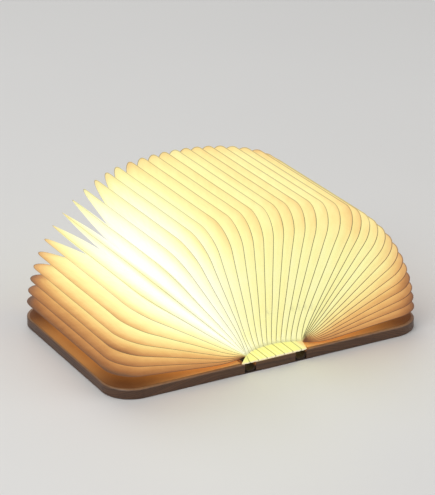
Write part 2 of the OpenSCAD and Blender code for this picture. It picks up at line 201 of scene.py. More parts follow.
def vector_math(tree, operation, a, b=None, scale=None):
    made = add(tree, "ShaderNodeVectorMath", {0: a}, operation=operation)
    if b is not None:
        feed(tree, made.inputs[1], b)
    if scale is not None:
        feed(tree, made.inputs["Scale"], scale)
    return made.outputs[1] if operation in ("DISTANCE", "LENGTH") else made.outputs[0]


SOCKETS = {"value": "NodeSocketFloat", "count": "NodeSocketInt", "vector": "NodeSocketVector",
    "colour": "NodeSocketColor", "geometry": "NodeSocketGeometry",
    "material": "NodeSocketMaterial"}


def new_group(name, kind, inputs, outputs):
    """A node group with its sockets and nothing in it. Gives the group, its inputs by name and
    its output node."""
    tree = bpy.data.node_groups.new(name, kind)
    for way, sockets in (("INPUT", inputs), ("OUTPUT", outputs)):
        for label, sort in sockets.items():
            tree.interface.new_socket(label, in_out=way, socket_type=SOCKETS[sort])
    source = tree.nodes.new("NodeGroupInput")
    given = {s.name: Num(tree, s) for s in source.outputs if s.name}
    return tree, given, tree.nodes.new("NodeGroupOutput")


def use_group(tree, group, values, kind="ShaderNodeGroup"):
    """Places a node group in a tree with its own values."""
    made = tree.nodes.new(kind)
    made.node_tree = group
    for name, value in values.items():
        feed(tree, made.inputs[name], value)
    return made


# ---------------------------------------------------------------- the pages

def leaf_angle(leaf):
    """Angle of a leaf over the right cover, in degrees. Between two leaves lies an inner fold."""
    if leaf < 0:
        return 180.0
    if leaf > LAST_LEAF:
        return 0.0
    share = leaf / LAST_LEAF
    spread = 180 - FIRST_LEAF_ANGLE - LAST_LEAF_ANGLE
    waves = sum(size * math.sin(math.pi * (n + 1) * share) for n, size in enumerate(SETTLING))
    return 180 - FIRST_LEAF_ANGLE - share * spread + waves


def root_x(leaf):
    """Where a leaf springs from, across the spine."""
    return FAN_HALF_WIDTH * max(-1.0, min(1.0, 2 * (leaf - MIDDLE_LEAF) / SPREAD_LEAVES))


def foot_x(leaf, left, right):
    """Where a leaf's foot lies across the spine, held between the two ends of the foot."""
    return max(left, min(right, FOOT_PITCH * (leaf - UPRIGHT_LEAF)))


def page_line(leaf):
    """What one fold line needs to be drawn: its angle, its root, and the two ends of its foot."""
    kink = foot_x(leaf, FOOT_LEFT, FOOT_RIGHT)
    start = FOOT_START_NEAREST + FOOT_START_CURVE * (kink - FOOT_MIDDLE) ** 2
    return {"Angle": math.radians(leaf_angle(leaf)), "Root": root_x(leaf), "Kink": kink,
        "Front": foot_x(leaf, FRONT_LEFT, FRONT_RIGHT), "Foot Start": start}


def up_leaf(leaf):
    """The way from a leaf's root to its fore-edge."""
    angle = math.radians(leaf_angle(leaf))
    return Vector((math.cos(angle), 0, math.sin(angle)))


def leaf_point(leaf, reach):
    """Place of a point of a leaf at that distance from its root, seen along the spine."""
    return Vector((root_x(leaf), 0, ROOT_HEIGHT)) + up_leaf(leaf) * (ROOT_RADIUS + reach)


PAGE_SIZES = {"Page Length": PAGE_LENGTH, "Page Reach": PAGE_REACH, "Corner Radius": PAGE_CORNER,
    "Inner Corner Radius": INNER_CORNER, "Flare Reach": FLARE_REACH, "Foot End": FOOT_END,
    "Root Radius": ROOT_RADIUS, "Root Height": ROOT_HEIGHT, "Foot Radius": FOOT_RADIUS,
    "Lip Height": LIP_HEIGHT}
LINE_SIZES = ("Angle", "Root", "Kink", "Front", "Foot Start")

# Half the edge of a leaf has these sections: foot, flare, straight, corner and fore-edge. A pleat
# may be cut after the foot and the flare; its last part ends past all of them, so uncut.
EDGE_SECTIONS = 5
FOOT_ENDS, FLARE_ENDS, PAST_FORE_EDGE = 1, 2, 9
LIP_SHARE = 0.1
AT_FOLD, AT_INNER_FOLD = 0.01, 0.999
MERGING = 0.002 * MM


def leaf_edge_group():
    """Half of the edge of a leaf, from the foot over the flare and the corner to the fore-edge."""
    tree, size, out = new_group("leaf_edge", "GeometryNodeTree",
        {"Along": "value", "Inset": "value", "Dip": "value", **{k: "value" for k in LINE_SIZES},
            **{k: "value" for k in PAGE_SIZES}}, {"Place": "vector"})
    foot, flare, straight, corner, fore = [(size["Along"] - i).held() for i in range(EDGE_SECTIONS)]
    lip = 1 - (foot / LIP_SHARE).held()
    run = ((foot - LIP_SHARE) / (1 - LIP_SHARE)).held()
    lean = (1 - flare) * (1 - flare)
    inset, dip = size["Inset"], size["Dip"]
    radius = (size["Corner Radius"] - inset).at_least(size["Inner Corner Radius"])
    half = size["Page Length"] * 0.5
    corner_reach = size["Page Reach"] - inset - radius
    corner_side = half - inset - radius
    turn = corner * math.radians(90)
    reach = (size["Flare Reach"] * flare - dip * lean - size["Lip Height"] * lip
        + (corner_reach - size["Flare Reach"]) * straight + radius * turn.sine())
    side = ((size["Foot End"] - size["Foot Start"] + dip) * (1 - run)
        + half - (half - size["Foot Start"]) * lean - inset + (inset - dip) * lean
        - radius * (1 - turn.cosine()) - corner_side * fore)
    foot_place = size["Front"] + (size["Kink"] - size["Front"]) * run
    root = size["Root"] + (foot_place - size["Root"]) * lean
    turned = size["Root Radius"] + (size["Foot Radius"] - size["Root Radius"]) * lean + reach
    feed(tree, out.inputs["Place"], vector(tree, root + turned * size["Angle"].cosine(), side,
        size["Root Height"] + turned * size["Angle"].sine()))
    return tree


def pleat_group():
    """A pleat, or the part of it between two cuts: two paper faces that meet in a leaf's outer
    fold, with a skin outside and inside."""
    edge = leaf_edge_group()
    lines = [f"{which} {name}" for which in ("Left", "Fold", "Right") for name in LINE_SIZES]
    tree, size, out = new_group("pleat", "GeometryNodeTree", {
        **{k: "value" for k in PAGE_SIZES}, **{k: "value" for k in lines}, "Pleat Depth": "value",
        "Foot Depth": "value", "Fold Wall": "value", "Foot Wall": "value", "Fan Place": "value",
        "Foot Crease": "value", "Bulge": "value", "Ripple": "value", "Ripple Seed": "value",
        "Steps Along": "count", "Steps Across": "count", "Part Start": "value", "Part End": "value",
        "Paper": "material"}, {"Geometry": "geometry"})
    page = {k: size[k] for k in PAGE_SIZES}

    def switch(on, no, yes):
        return Num(tree, add(tree, "GeometryNodeSwitch", {0: on, 1: no, 2: yes},
            input_type="FLOAT").outputs[0])

    def skin(wall):
        """One skin of the paper: the outer one where wall is 0, the inner one where it is 1. They
        meet at the inner folds and at the cuts, so that each part is closed."""
        grid = add(tree, "GeometryNodeMeshGrid", {"Size X": 2.0, "Size Y": 2.0,
            "Vertices X": size["Steps Along"] + 1, "Vertices Y": size["Steps Across"] + 1})
        x, across, _ = parts(tree, tree.nodes.new("GeometryNodeInputPosition").outputs[0])
        along = (1 - abs(x)) * EDGE_SECTIONS
        from_fold = abs(across)
        wall = (((along - size["Part Start"]) * 2).held() * ((size["Part End"] - along) * 2).held()
            * wall)
        left = across.below(0.0)
        mirror = vector(tree, 1.0, -x.sign(), 1.0)

        def line(inset, dip, values):
            made = use_group(tree, edge, {"Along": along, "Inset": inset, "Dip": dip, **values,
                **page}, "GeometryNodeGroup")
            return vector_math(tree, "MULTIPLY", made.outputs[0], mirror)

        fold_point = line(size["Fold Wall"] * wall, size["Foot Wall"] * wall,
            {k: size[f"Fold {k}"] for k in LINE_SIZES})
        inner_point = line(size["Pleat Depth"], size["Foot Depth"],
            {k: switch(left, size[f"Right {k}"], size[f"Left {k}"]) for k in LINE_SIZES})
        flat = add(tree, "ShaderNodeMix", {0: from_fold, 4: fold_point, 5: inner_point},
            data_type="VECTOR").outputs[1]
        off_foot = (along - 1).held()
        ripple = add(tree, "ShaderNodeTexNoise", {"Vector": vector_math(tree, "MULTIPLY", flat,
            RIPPLES_PER_METRE), "W": size["Ripple Seed"], "Scale": 1.0, "Detail": 1.0},
            noise_dimensions="4D")
        swell = (size["Bulge"] * 4 * from_fold * (1 - from_fold) * -across.sign()
            + (Num(tree, ripple.outputs[0]) - 0.5) * size["Ripple"] * (1 - from_fold)) * off_foot
        normal = vector(tree, -size["Fold Angle"].sine(), 0.0, size["Fold Angle"].cosine())
        place = vector_math(tree, "ADD", flat, vector_math(tree, "SCALE", normal, scale=swell))
        mesh = grid.outputs[0]
        for name, value, sort in (("leaf_place", vector(tree, across, along / EDGE_SECTIONS,
            size["Fan Place"]), "FLOAT_VECTOR"), ("foot_crease", size["Foot Crease"], "FLOAT"),
            ("fold_distance", vector_math(tree, "DISTANCE", flat, fold_point), "FLOAT")):
            store = add(tree, "GeometryNodeStoreNamedAttribute", {"Geometry": mesh, "Name": name},
                data_type=sort, domain="POINT")
            feed(tree, store.inputs["Value"], value)
            mesh = store.outputs[0]
        smooth = add(tree, "GeometryNodeSetShadeSmooth", {"Geometry": mesh, "Shade Smooth": True})
        sharp = add(tree, "GeometryNodeSetShadeSmooth", {"Geometry": smooth.outputs[0],
            "Selection": from_fold.below(AT_FOLD), "Shade Smooth": False}, domain="EDGE")
        rim = add(tree, "GeometryNodeSetShadeSmooth", {"Geometry": sharp.outputs[0],
            "Selection": from_fold.above(AT_INNER_FOLD), "Shade Smooth": False}, domain="EDGE")
        return add(tree, "GeometryNodeSetPosition", {"Geometry": rim.outputs[0],
            "Position": place}).outputs[0]

    inside = add(tree, "GeometryNodeFlipFaces", {"Mesh": skin(1.0)}).outputs[0]
    both = tree.nodes.new("GeometryNodeJoinGeometry")
    for mesh in (skin(0.0), inside):
        tree.links.new(mesh, both.inputs[0])
    place = add(tree, "GeometryNodeInputNamedAttribute", {"Name": "leaf_place"},
        data_type="FLOAT_VECTOR")
    from_middle = abs(parts(tree, place.outputs[0])[1] * EDGE_SECTIONS
        - (size["Part Start"] + size["Part End"]) * 0.5)
    half_part = (size["Part End"] - size["Part Start"]) * 0.5
    cut = add(tree, "GeometryNodeSeparateGeometry", {"Geometry": both.outputs[0],
        "Selection": from_middle.below(half_part)}, domain="FACE")
    closed = add(tree, "GeometryNodeMergeByDistance", {"Geometry": cut.outputs[0],
        "Distance": MERGING})
    real = add(tree, "GeometryNodeRealizeInstances", {"Geometry": closed.outputs[0]})
    paper = add(tree, "GeometryNodeSetMaterial", {"Geometry": real.outputs[0],
        "Material": size["Paper"]})
    tree.links.new(paper.outputs[0], out.inputs[0])
    return tree


def keep_result(piece):
    """Makes what a piece's modifiers give its plain mesh, and takes the modifiers off."""
    bpy.context.view_layer.update()
    done = piece.evaluated_get(bpy.context.evaluated_depsgraph_get())
    mesh = bpy.data.meshes.new_from_object(done)
    piece.modifiers.clear()
    piece.data = mesh
    mesh.name = piece.name


def from_tree(name, tree, values):
    """Runs a tree on an empty mesh and returns its result as a plain mesh object."""
    made = bpy.data.objects.new(name, bpy.data.meshes.new(name))
    bpy.context.scene.collection.objects.link(made)
    modifier = made.modifiers.new(name, "NODES")
    modifier.node_group = tree
    for item in tree.interface.items_tree:
        if item.item_type == "SOCKET" and item.in_out == "INPUT" and item.name in values:
            modifier[item.identifier] = values[item.name]
    keep_result(made)
    return made


def closing_turn(leaf, side):
    """How far the cover on that side, -1 or 1, has to turn a leaf's tip to its place between the
    closed covers, as a share of the closing angle. Below 0 the other cover turns it."""
    tip = leaf_point(leaf, PAGE_REACH)
    hinge = side * SPINE_HALF_WIDTH
    radius, angle = math.hypot(tip.x - hinge, tip.z), math.atan2(tip.z, tip.x - hinge)
    place = CLOSED_HALF_GAP * (leaf - MIDDLE_LEAF) / MIDDLE_LEAF
    return side * (math.acos((place - hinge) / radius) - angle) / CLOSING_ANGLE


def eased_back(share):
    """The point between 0 and 1 at which a smooth step has that height."""
    low, high = 0.0, 1.0
    for _ in range(50):
        middle = (low + high) / 2
        if middle * middle * (3 - 2 * middle) < share:
            low = middle
        else:
            high = middle
    return low


def pleat_turn(leaf):
    """How a pleat turns with the nearer cover, so that the fan closes evenly: the side, a point of
    its fold, the share of the bend there and the slope of that share across the pleat."""
    side = -1 if closing_turn(leaf, -1) > 0 else 1
    share = closing_turn(leaf, side)
    outward = leaf + 0.5 * side
    next_share = 1.0 if not 0 < outward < LAST_LEAF else (
        share + closing_turn(leaf + side, side)) / 2
    along = up_leaf(leaf)
    normal = Vector((-along.z, 0, along.x)) * -side
    fold = leaf_point(leaf, FLARE_REACH)
    inner_place = (leaf_point(outward, PAGE_REACH - PLEAT_DEPTH) - fold).dot(normal)
    at_fold, at_inner = eased_back(share), eased_back(next_share)
    return side, fold, at_fold, normal * ((at_inner - at_fold) / inner_place)


def foot_bend(leaf):
    """How far the inner end of a foot lies from the spine to the cover, between 0 and 1."""
    past_glue = abs(foot_x(leaf, FOOT_LEFT, FOOT_RIGHT)) - FOOT_GLUED_X
    return min(max(past_glue / (COVER_INNER_X - FOOT_GLUED_X), 0.0), 1.0)


def flare_turn(leaf):
    """The same for the flare of a pleat that turns less than its foot: the flare makes up the
    difference. None where the pleat itself turns as far as the foot."""
    side, fold, at_fold, slope = pleat_turn(leaf)
    down = Vector((foot_x(leaf, FOOT_LEFT, FOOT_RIGHT), 0, ROOT_HEIGHT)) - fold
    missing = foot_bend(leaf) - at_fold - down.dot(slope)
    if missing < LEAST_FLARE_TURN:
        return None
    along = up_leaf(leaf)
    return side, fold, at_fold, slope + along * (missing / down.dot(along))


def cover_on(side):
    return "left_cover" if side < 0 else "right_cover"


def follow_cover(piece, turn):
    side, fold, at_fold, slope = turn
    whole_bend = slope / slope.length_squared
    start = fold - whole_bend * at_fold
    cover_on(side)
    start + whole_bend
    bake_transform(piece)


def stay_on_spine(piece, leaf):
    """Holds the foot of a pleat on the spine where it is glued down, and leaves the others where
    they lie.
    """
    side = 1 if leaf > UPRIGHT_LEAF else -1
    if FOOT_PITCH * (abs(leaf - UPRIGHT_LEAF) + 0.5) < FOOT_GLUED_X:
        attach(piece, "spine")
    else:
        cover_on(side)
        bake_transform(piece)


def make_pages(paper):
    """Every pleat of the bellows, cut at its foot and, where it closes further than its page, at
    its flare."""
    tree = pleat_group()
    for leaf in range(LEAF_COUNT):
        lines = {f"{which} {name}": value
            for which, half in (("Left", -0.5), ("Fold", 0), ("Right", 0.5))
            for name, value in page_line(leaf + half).items()}
        creased = leaf % 2 == 1 and FRONT_LEFT < FOOT_PITCH * (leaf - UPRIGHT_LEAF) < FRONT_RIGHT
        halves = [name for name, here in (("left_page_bellows", leaf <= MIDDLE_LEAF),
            ("right_page_bellows", leaf >= MIDDLE_LEAF)) if here]
        flare = flare_turn(leaf)
        cuts = [("page", FLARE_ENDS if flare else FOOT_ENDS, PAST_FORE_EDGE, pleat_turn(leaf)),
            ("foot", 0, FOOT_ENDS, None)]
        if flare:
            cuts.append(("flare", FOOT_ENDS, FLARE_ENDS, flare))
        for name, start, end, turn in cuts:
            piece = from_tree(f"{name}_{leaf + 1:02d}", tree, {**PAGE_SIZES, **lines,
                "Pleat Depth": PLEAT_DEPTH, "Foot Depth": FOOT_DEPTH, "Fold Wall": FOLD_WALL,
                "Foot Wall": FOOT_WALL, "Fan Place": leaf / LAST_LEAF,
                "Foot Crease": float(creased), "Bulge": FACE_BULGE, "Ripple": FACE_RIPPLE,
                "Ripple Seed": leaf * RIPPLE_SEED_STEP, "Steps Along": STEPS_ALONG,
                "Steps Across": STEPS_ACROSS, "Part Start": float(start), "Part End": float(end),
                "Paper": paper})
            if turn:
                follow_cover(piece, turn)
            else:
                stay_on_spine(piece, leaf)
            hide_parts(*halves)


# ---------------------------------------------------------------- shared surface effects

def object_place(tree):
    return tree.nodes.new("ShaderNodeTexCoord").outputs["Object"]


def noise(tree, place, scale, detail=3.0, roughness=0.5):
    made = add(tree, "ShaderNodeTexNoise", {"Vector": place, "Scale": scale, "Detail": detail,
        "Roughness": roughness})
    return Num(tree, made.outputs[0])


def mix_colour(tree, share, a, b):
    return add(tree, "ShaderNodeMix", {0: share, 6: a, 7: b}, data_type="RGBA").outputs[2]


def wood_group():
    """Long wood grain: fine pores inside broad bands of growth."""
    tree, given, out = new_group("wood_grain", "ShaderNodeTree",
        {"Place": "vector", "Band Width": "value", "Log Width": "value", "Light": "colour",
            "Dark": "colour", "Pore": "colour"},
        {"Colour": "colour", "Roughness": "value", "Height": "value"})
    sway = noise(tree, vector_math(tree, "MULTIPLY", given["Place"], (18.0, 4.0, 18.0)), 1.0, 2.0)
    x, y, z = parts(tree, given["Place"])
    across = (z + x * x / given["Log Width"] + (sway - 0.5) * 0.012) / given["Band Width"]
    bands = noise(tree, vector(tree, across, y * 3, x * 9), 1.0, 4.0, 0.62)
    rings = (across * 2.2 + bands * 3.1).wrapped(1.0)
    ring = rings.eased(0.0, 0.75) * (1 - rings.eased(0.86, 1.0))
    fine = noise(tree, vector_math(tree, "MULTIPLY", given["Place"], (1500.0, 60.0, 1500.0)),
        1.0, 3.0, 0.6)
    pores = fine.eased(0.56, 0.68)
    tone = (ring * 0.55 + bands * 0.75 - 0.15).held()
    wood = mix_colour(tree, tone, given["Light"], given["Dark"])
    feed(tree, out.inputs["Colour"], mix_colour(tree, pores * 0.65, wood, given["Pore"]))
    feed(tree, out.inputs["Roughness"], 0.34 + fine * 0.22 + ring * 0.06)
    feed(tree, out.inputs["Height"], (1 - pores) * 0.7 + ring * 0.3)
    return tree


def edge_highlight_group():
    """Painted highlight along a board's upper edge, where the edge catches the light: 1 at that
    level, 0 a width away, and uneven.
    """
    tree, given, out = new_group("painted_edge_highlight", "ShaderNodeTree",
        {"Place": "vector", "Level": "value", "Width": "value"}, {"Mask": "value"})
    z = parts(tree, given["Place"])[2]
    patchy = noise(tree, given["Place"], 260.0, 2.0)
    near = 1 - abs(z - given["Level"]).eased(0.0, given["Width"])
    feed(tree, out.inputs["Mask"], near * (0.6 + patchy * 0.8))
    return tree


def fibre_group():
    """Spun paper: long tangled fibres and soft clouds where they lie closer."""
    tree, given, out = new_group("paper_fibres", "ShaderNodeTree",
        {"Place": "vector", "Scale": "value"}, {"Clouds": "value", "Fibres": "value",
            "Height": "value"})
    place, scale = given["Place"], given["Scale"]
    clouds = noise(tree, place, scale * 0.12, 3.0, 0.55)
    bent = noise(tree, place, scale * 0.5, 2.0)
    strands = [1 - abs(noise(tree, vector_math(tree, "ADD", vector_math(tree, "MULTIPLY", place,
        stretch), vector(tree, bent * 0.6, bent * 0.6, bent * 0.6)), scale, 2.0) - 0.5) * 9
        for stretch in ((1.0, 0.25, 0.9), (0.35, 1.0, 0.3))]
    fibres = strands[0].at_least(strands[1]).held()
    feed(tree, out.inputs["Clouds"], clouds)
    feed(tree, out.inputs["Fibres"], fibres)
    feed(tree, out.inputs["Height"], fibres * 0.6 + clouds * 0.4)
    return tree


def speckle_group():
    """Fine unevenness of a moulded, plated or painted face, with a few marks from handling."""
    tree, given, out = new_group("fine_speckle", "ShaderNodeTree",
        {"Place": "vector", "Scale": "value", "Low": "value", "High": "value"},
        {"Shade": "value", "Roughness": "value", "Height": "value"})
    fine = noise(tree, given["Place"], given["Scale"], 3.0, 0.6)
    broad = noise(tree, given["Place"], given["Scale"] * 0.09, 2.0)
    feed(tree, out.inputs["Shade"], (fine * 0.4 + broad * 0.6).eased(0.3, 0.7))
    feed(tree, out.inputs["Roughness"],
        given["Low"] + (given["High"] - given["Low"]) * (fine * 0.5 + broad * 0.5))
    feed(tree, out.inputs["Height"], fine)
    return tree


def weave_group():
    """Plain weave of over and under threads."""
    tree, given, out = new_group("plain_weave", "ShaderNodeTree",
        {"Place": "vector", "Thread": "value"}, {"Thread Mask": "value", "Height": "value"})
    x, y, _ = parts(tree, given["Place"])
    turn = math.pi / given["Thread"]
    warp, weft = abs((x * turn).sine()), abs((y * turn).sine())
    over = ((x * turn * 0.5).sine() * (y * turn * 0.5).sine()).above(0.0)
    height = over * warp + (1 - over) * weft
    fuzz = noise(tree, given["Place"], 4000.0, 2.0)
    feed(tree, out.inputs["Thread Mask"], (height * 0.8 + fuzz * 0.3).held())
    feed(tree, out.inputs["Height"], height * 0.85 + fuzz * 0.15)
    return tree


WOOD, EDGE_HIGHLIGHT, FIBRES, SPECKLE, WEAVE = (make() for make in (
    wood_group, edge_highlight_group, fibre_group, speckle_group, weave_group))


# ---------------------------------------------------------------- materials

WALNUT_LIGHT, WALNUT_DARK = (0.138, 0.061, 0.025, 1), (0.050, 0.019, 0.008, 1)
# The paler brown after the pores is a painted highlight for the covers' upper edge, where it
# catches the light
WALNUT_PORE, WALNUT_HIGHLIGHT = (0.020, 0.009, 0.005, 1), (0.33, 0.18, 0.085, 1)
CLOTH_SHADOW, CLOTH_THREAD = (0.020, 0.011, 0.007, 1), (0.070, 0.038, 0.022, 1)
CARD_LIGHT, CARD_DARK = (0.98, 0.86, 0.36), (0.90, 0.74, 0.26)
END_PAPER_LIT, END_PAPER_SHADED = (0.70, 0.34, 0.095), (0.115, 0.038, 0.008)
LINING_LIT, LINING_SHADED = (0.36, 0.125, 0.030), (0.022, 0.009, 0.004)

# Colours of the pages from their darkest corners to the paper right over the light
LAMPLIGHT = ((0.0, (0.127, 0.045, 0.012)), (0.15, (0.352, 0.127, 0.026)),
    (0.30, (0.61, 0.283, 0.080)), (0.45, (0.871, 0.515, 0.171)), (0.60, (1.0, 0.807, 0.328)),
    (0.72, (1.0, 0.965, 0.456)), (0.85, (1.0, 0.985, 0.66)), (1.0, (1.0, 1.0, 0.94)))
FOOT_YELLOW, LIP_CREAM = (1.0, 0.98, 0.25, 1), (1.0, 0.90, 0.62, 1)
FOLD_OVER_LIGHT, FOLD_AT_COVERS = (0.088, 0.064, 0.017, 1), (0.15, 0.045, 0.010, 1)
PALE_FIBRE = (1.0, 1.0, 0.9, 1)


def new_material(name):
    material = bpy.data.materials.new(name)
    material.use_nodes = True
    tree = material.node_tree
    return material, tree, tree.nodes["Principled BSDF"]


def bump(tree, shader, height, depth, strength=1.0):
    made = add(tree, "ShaderNodeBump", {"Height": height, "Distance": depth, "Strength": strength})
    tree.links.new(made.outputs[0], shader.inputs["Normal"])


def fibres_at(tree, scale):
    """The paper fibres over a piece: their group, its clouds and its strands."""
    fibres = use_group(tree, FIBRES, {"Place": object_place(tree), "Scale": scale})
    return fibres, Num(tree, fibres.outputs["Clouds"]), Num(tree, fibres.outputs["Fibres"])


def page_attribute(tree, name, output="Fac"):
    return add(tree, "ShaderNodeAttribute", attribute_name=name).outputs[output]


def walnut():
    material, tree, shader = new_material("walnut")
    place = object_place(tree)
    grain = use_group(tree, WOOD, {"Place": place, "Band Width": 2.6 * MM, "Log Width": 500 * MM,
        "Light": WALNUT_LIGHT, "Dark": WALNUT_DARK, "Pore": WALNUT_PORE})
    # Painted highlight: a paler brown along the cover's upper edge, where the edge catches the
    # light
    top_highlight = use_group(tree, EDGE_HIGHLIGHT, {"Place": place, "Level": COVER_THICKNESS,
        "Width": 0.55 * MM})
    feed(tree, shader.inputs["Base Color"], mix_colour(tree, Num(tree, top_highlight.outputs[0]) * 0.75,
        grain.outputs["Colour"], WALNUT_HIGHLIGHT))
    feed(tree, shader.inputs["Roughness"], grain.outputs["Roughness"])
    shader.inputs["Coat Weight"].default_value = 0.12
    shader.inputs["Coat Roughness"].default_value = 0.3
    bump(tree, shader, grain.outputs["Height"], 0.06 * MM)
    return material


def lamplight(tree, glow):
    """The colour of lit paper for its brightness, from 0 to 1."""
    ramp = tree.nodes.new("ShaderNodeValToRGB")
    while len(ramp.color_ramp.elements) < len(LAMPLIGHT):
        ramp.color_ramp.elements.new(0.5)
    for element, (at, colour) in zip(ramp.color_ramp.elements, LAMPLIGHT):
        element.position, element.color = at, (*colour, 1)
    feed(tree, ramp.inputs[0], glow)
    return ramp.outputs[0]


def page_paper():
    """Paper lit from inside, with that light painted in as a glow: nearly white over the light, and
    painted shade in orange-brown at the covers and corners. The place on a leaf runs across it from
    fold to fold, along its edge from the foot, and over the fan from the left cover, each by its
    own attribute."""
    material, tree, shader = new_material("page_paper")
    x, y, z = parts(tree, object_place(tree))
    across, along, fan = parts(tree, page_attribute(tree, "leaf_place", "Vector"))
    distance = Num(tree, page_attribute(tree, "fold_distance"))
    foot_crease = Num(tree, page_attribute(tree, "foot_crease"))
    fibres, clouds, strands = fibres_at(tree, 1400.0)

    # Where a point lies: by the covers, at a leaf's corner, over the light, at a fold, on the foot
    from_fold = abs(across)
    from_root = (x * x + (z - 8 * MM) * (z - 8 * MM)).root().eased(15 * MM, 70 * MM)
    by_left, by_right = 1 - fan.eased(-0.035, 0.13), fan.eased(0.80, 1.06)
    right_root = fan.eased(0.64, 0.86)
    on_flare = 1 - along.eased(0.2, 0.31)
    low = 1 - (0.5 - abs(fan - 0.5)).eased(0.0, 0.3)
    # Painted shade at the leaves' corners, stronger on some leaves than on others
    corner_shade_spread = noise(tree, vector(tree, fan * 67.0, 0.0, 3.0), 1.0, 1.0).eased(0.3, 0.7)
    corner = (along.eased(0.5, 0.7) * (1 - along.eased(0.75, 0.9) * 0.5)
        * (0.35 + corner_shade_spread * 1.3))
    hot = (fan.eased(0.115, 0.175) * (1 - fan.eased(0.21, 0.42))
        * (1 - y.eased(-10 * MM, 60 * MM) * 0.5) * (0.7 + along.eased(0.2, 0.42) * 0.3))
    to_fold = (1 - from_fold) ** 3
    on_foot = 1 - along.eased(0.178, 0.222)
    foot_end = abs(x + 0.8 * MM).eased(15.5 * MM, 20.5 * MM)

    # Painted lamp light: how brightly the paper is lit there, with painted shade by the covers, at
    # the corners and towards the outer folds, and how much each leaf differs from the next
    leaf_tone = noise(tree, vector(tree, fan * 41.0, along * 1.5, 0.0), 1.0, 1.0)
    streaks = noise(tree, vector(tree, across * 16.0, along * 7.0, fan * 53.0), 1.0, 3.0, 0.6)
    glow = (0.805 - by_left * (0.20 + from_root * 0.17) - by_right * 0.23
        - (by_left * 0.14 + right_root * 0.30) * on_flare + hot * 0.20
        - to_fold * (0.10 + low * 0.26 + corner * (0.15 + low * 0.04))
        + (clouds - 0.5) * 0.10 + (leaf_tone - 0.5) * 0.17 + (streaks - 0.5) * 0.09)
    # The foot glows lemon yellow, with painted shade in orange towards its ends, where the paper
    # turns down
    foot_glow = 0.88 - foot_end * 0.34 + (clouds - 0.5) * 0.08
    lit = lamplight(tree, glow * (1 - on_foot) + foot_glow * on_foot)
    lit = mix_colour(tree, on_foot * (1 - foot_end) * 0.9, lit, FOOT_YELLOW)
    lit = mix_colour(tree, 1 - along.eased(0.012, 0.022), lit, LIP_CREAM)

    # Painted shade: dark lines along the folds, finest at the foot
    outer = by_left.at_least(fan.eased(0.6, 0.88)).eased(0.3, 0.9)
    fan_line = (1 - distance.eased(0.34 * MM, 0.72 * MM)) * (1 - on_foot) * (
        0.97 - (1 - along.eased(0.2, 0.26)) * (1 - outer) * 0.5
        - along.eased(0.64, 0.76) * (0.55 - outer * 0.25))
    crease_line = (1 - distance.eased(0.2 * MM, 0.5 * MM)) * foot_crease * on_foot * 0.5
    line_colour = mix_colour(tree, outer, FOLD_OVER_LIGHT, FOLD_AT_COVERS)
    lit = mix_colour(tree, fan_line + crease_line, lit, line_colour)
    lit = mix_colour(tree, strands * 0.06, lit, PALE_FIBRE)

    feed(tree, shader.inputs["Base Color"], vector_math(tree, "SCALE", lit, scale=0.3))
    feed(tree, shader.inputs["Emission Color"], lit)
    shader.inputs["Emission Strength"].default_value = 0.70
    shader.inputs["Roughness"].default_value = 0.62
    bump(tree, shader, fibres.outputs["Height"], 0.05 * MM, 0.6)
    return material


def lit_stock(name, share, light, dark, roughness, scale, glow):
    """Card or paper between a light and a dark shade, with the light of the pages over it painted
    in as a glow. share says how light it is at a place, from the clouds and strands of its fibres,
    and on the end paper and the gap lining also from painted lamp light and painted shade."""
    material, tree, shader = new_material(name)
    fibres, clouds, strands = fibres_at(tree, scale)
    shade = mix_colour(tree, share(tree, clouds, strands).held(), (*dark, 1), (*light, 1))
    feed(tree, shader.inputs["Base Color"], shade)
    feed(tree, shader.inputs["Roughness"], roughness + (clouds - 0.5) * 0.15)
    feed(tree, shader.inputs["Emission Color"], shade)
    shader.inputs["Emission Strength"].default_value = glow
    bump(tree, shader, fibres.outputs["Height"], 0.04 * MM, 0.7)
    return material


def clouded(share, clouds, strands):
    return share * (0.94 + strands * 0.06) + (clouds - 0.5) * 0.12


def binding_card():
    def mottled(tree, clouds, strands):
        return clouds * 0.6 + strands * 0.4
    return lit_stock("card", mottled, CARD_LIGHT, CARD_DARK, 0.8, 900.0, 0.5)


def end_paper():
    def near_spine(tree, clouds, strands):
        x, y, _ = parts(tree, object_place(tree))
        near = 1 - abs(x).eased(28 * MM, 90 * MM) * (0.5 + abs(y).eased(15 * MM, 56 * MM) * 0.5)
        return clouded(near, clouds, strands)
    return lit_stock("end_paper", near_spine, END_PAPER_LIT, END_PAPER_SHADED, 0.7, 1200.0, 0.3)


def gap_lining():
    def out_of_gap(tree, clouds, strands):
        run = parts(tree, tree.nodes.new("ShaderNodeUVMap").outputs[0])[0]
        out = 1 - run.eased(1.0 * MM, 3.4 * MM) * (1 - run.eased(11.6 * MM, 13.6 * MM))
        return clouded(out, clouds, strands)
    return lit_stock("gap_lining", out_of_gap, LINING_LIT, LINING_SHADED, 0.7, 1200.0, 0.12)


def speckled(name, light, dark, low, high, scale, metallic=0.0, coat=0.0, glow=0.0, depth=0.01):
    """A moulded, plated, painted or rubbery finish with fine unevenness."""
    material, tree, shader = new_material(name)
    fine = use_group(tree, SPECKLE, {"Place": object_place(tree), "Scale": scale, "Low": low,
        "High": high})
    colour = mix_colour(tree, fine.outputs["Shade"], (*dark, 1), (*light, 1))
    feed(tree, shader.inputs["Base Color"], colour)
    feed(tree, shader.inputs["Roughness"], fine.outputs["Roughness"])
    shader.inputs["Metallic"].default_value = metallic
    shader.inputs["Coat Weight"].default_value = coat
    if glow:
        feed(tree, shader.inputs["Emission Color"], colour)
        shader.inputs["Emission Strength"].default_value = glow
    bump(tree, shader, fine.outputs["Height"], depth * MM, 0.5)
    return material


